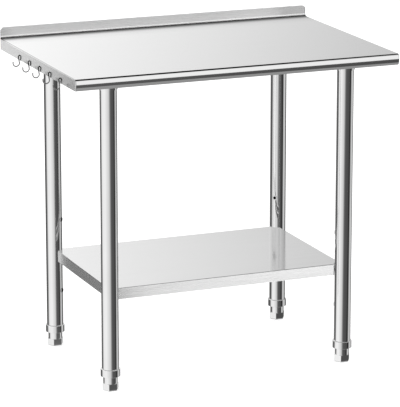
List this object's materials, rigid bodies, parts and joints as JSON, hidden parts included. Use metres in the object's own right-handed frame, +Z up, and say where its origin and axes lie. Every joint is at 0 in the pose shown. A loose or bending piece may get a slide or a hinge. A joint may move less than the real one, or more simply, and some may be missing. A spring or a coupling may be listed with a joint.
{
  "type": "stainless work table",
  "caption": "Free-standing stainless work table with a folded top, low backsplash, bolted undershelf, screw-in levelling feet and utensil hooks on one side.",
  "frame": {"origin": "on the floor under the middle of the whole object, hooks included; the table's own middle plane is 10.1 mm to the right of it", "axes": "+Z up, +X to the right as seen from the front, +Y towards the backsplash"},
  "size_m": [0.9202, 0.5999, 0.88],
  "materials": {
    "top_sheet": "finely brushed stainless sheet",
    "shelf_sheet": "finely brushed stainless sheet",
    "leg_tube": "polished stainless tube",
    "socket_steel": "satin stainless, welded",
    "collar_steel": "polished stainless",
    "foot_metal": "polished stainless",
    "hook_wire": "polished stainless wire",
    "channel_steel": "mill-finish stainless",
    "fastener_steel": "bright stainless"
  },
  "bodies": {
    "frame": {"worktop": "top_sheet", "top_channel_front": "channel_steel", "top_channel_rear": "channel_steel", "leg_socket_front_left": "socket_steel", "leg_socket_front_right": "socket_steel", "leg_socket_rear_left": "socket_steel", "leg_socket_rear_right": "socket_steel", "socket_set_screws": "fastener_steel", "leg_front_left": "leg_tube", "leg_front_right": "leg_tube", "leg_rear_left": "leg_tube", "leg_rear_right": "leg_tube", "leg_rivet_nuts": "fastener_steel", "undershelf": "shelf_sheet", "shelf_channel": "channel_steel", "shelf_bolts": "fastener_steel", "shelf_washers": "fastener_steel", "leg_collar_front_left": "collar_steel", "leg_plug_front_left": "fastener_steel", "leg_collar_front_right": "collar_steel", "leg_plug_front_right": "fastener_steel", "leg_collar_rear_left": "collar_steel", "leg_plug_rear_left": "fastener_steel", "leg_collar_rear_right": "collar_steel", "leg_plug_rear_right": "fastener_steel"},
    "levelling_foot_front_left": {"foot_front_left": "foot_metal", "foot_stud_front_left": "fastener_steel"},
    "levelling_foot_front_right": {"foot_front_right": "foot_metal", "foot_stud_front_right": "fastener_steel"},
    "levelling_foot_rear_left": {"foot_rear_left": "foot_metal", "foot_stud_rear_left": "fastener_steel"},
    "levelling_foot_rear_right": {"foot_rear_right": "foot_metal", "foot_stud_rear_right": "fastener_steel"},
    "hook_1": {"side_hook_1": "hook_wire"},
    "hook_2": {"side_hook_2": "hook_wire"},
    "hook_3": {"side_hook_3": "hook_wire"},
    "hook_4": {"side_hook_4": "hook_wire"},
    "hook_5": {"side_hook_5": "hook_wire"}
  },
  "joints": [
    {"name": "foot_screw_front_left", "type": "slide", "parent": "frame", "child": "levelling_foot_front_left", "axis": [0, 0, -1], "range_m": [-0.015, 0.02]},
    {"name": "foot_screw_front_right", "type": "slide", "parent": "frame", "child": "levelling_foot_front_right", "axis": [0, 0, -1], "range_m": [-0.015, 0.02]},
    {"name": "foot_screw_rear_left", "type": "slide", "parent": "frame", "child": "levelling_foot_rear_left", "axis": [0, 0, -1], "range_m": [-0.015, 0.02]},
    {"name": "foot_screw_rear_right", "type": "slide", "parent": "frame", "child": "levelling_foot_rear_right", "axis": [0, 0, -1], "range_m": [-0.015, 0.02]},
    {"name": "hook_swing_1", "type": "hinge", "parent": "frame", "child": "hook_1", "pos_m": [-0.4393, 0.137, 0.8288], "axis": [0, 1, 0], "range_deg": [0, 55]},
    {"name": "hook_swing_2", "type": "hinge", "parent": "frame", "child": "hook_2", "pos_m": [-0.4393, 0.057, 0.8288], "axis": [0, 1, 0], "range_deg": [0, 55]},
    {"name": "hook_swing_3", "type": "hinge", "parent": "frame", "child": "hook_3", "pos_m": [-0.4393, -0.023, 0.8288], "axis": [0, 1, 0], "range_deg": [0, 55]},
    {"name": "hook_swing_4", "type": "hinge", "parent": "frame", "child": "hook_4", "pos_m": [-0.4393, -0.103, 0.8288], "axis": [0, 1, 0], "range_deg": [0, 55]},
    {"name": "hook_swing_5", "type": "hinge", "parent": "frame", "child": "hook_5", "pos_m": [-0.4393, -0.183, 0.8288], "axis": [0, 1, 0], "range_deg": [0, 55]}
  ]
}
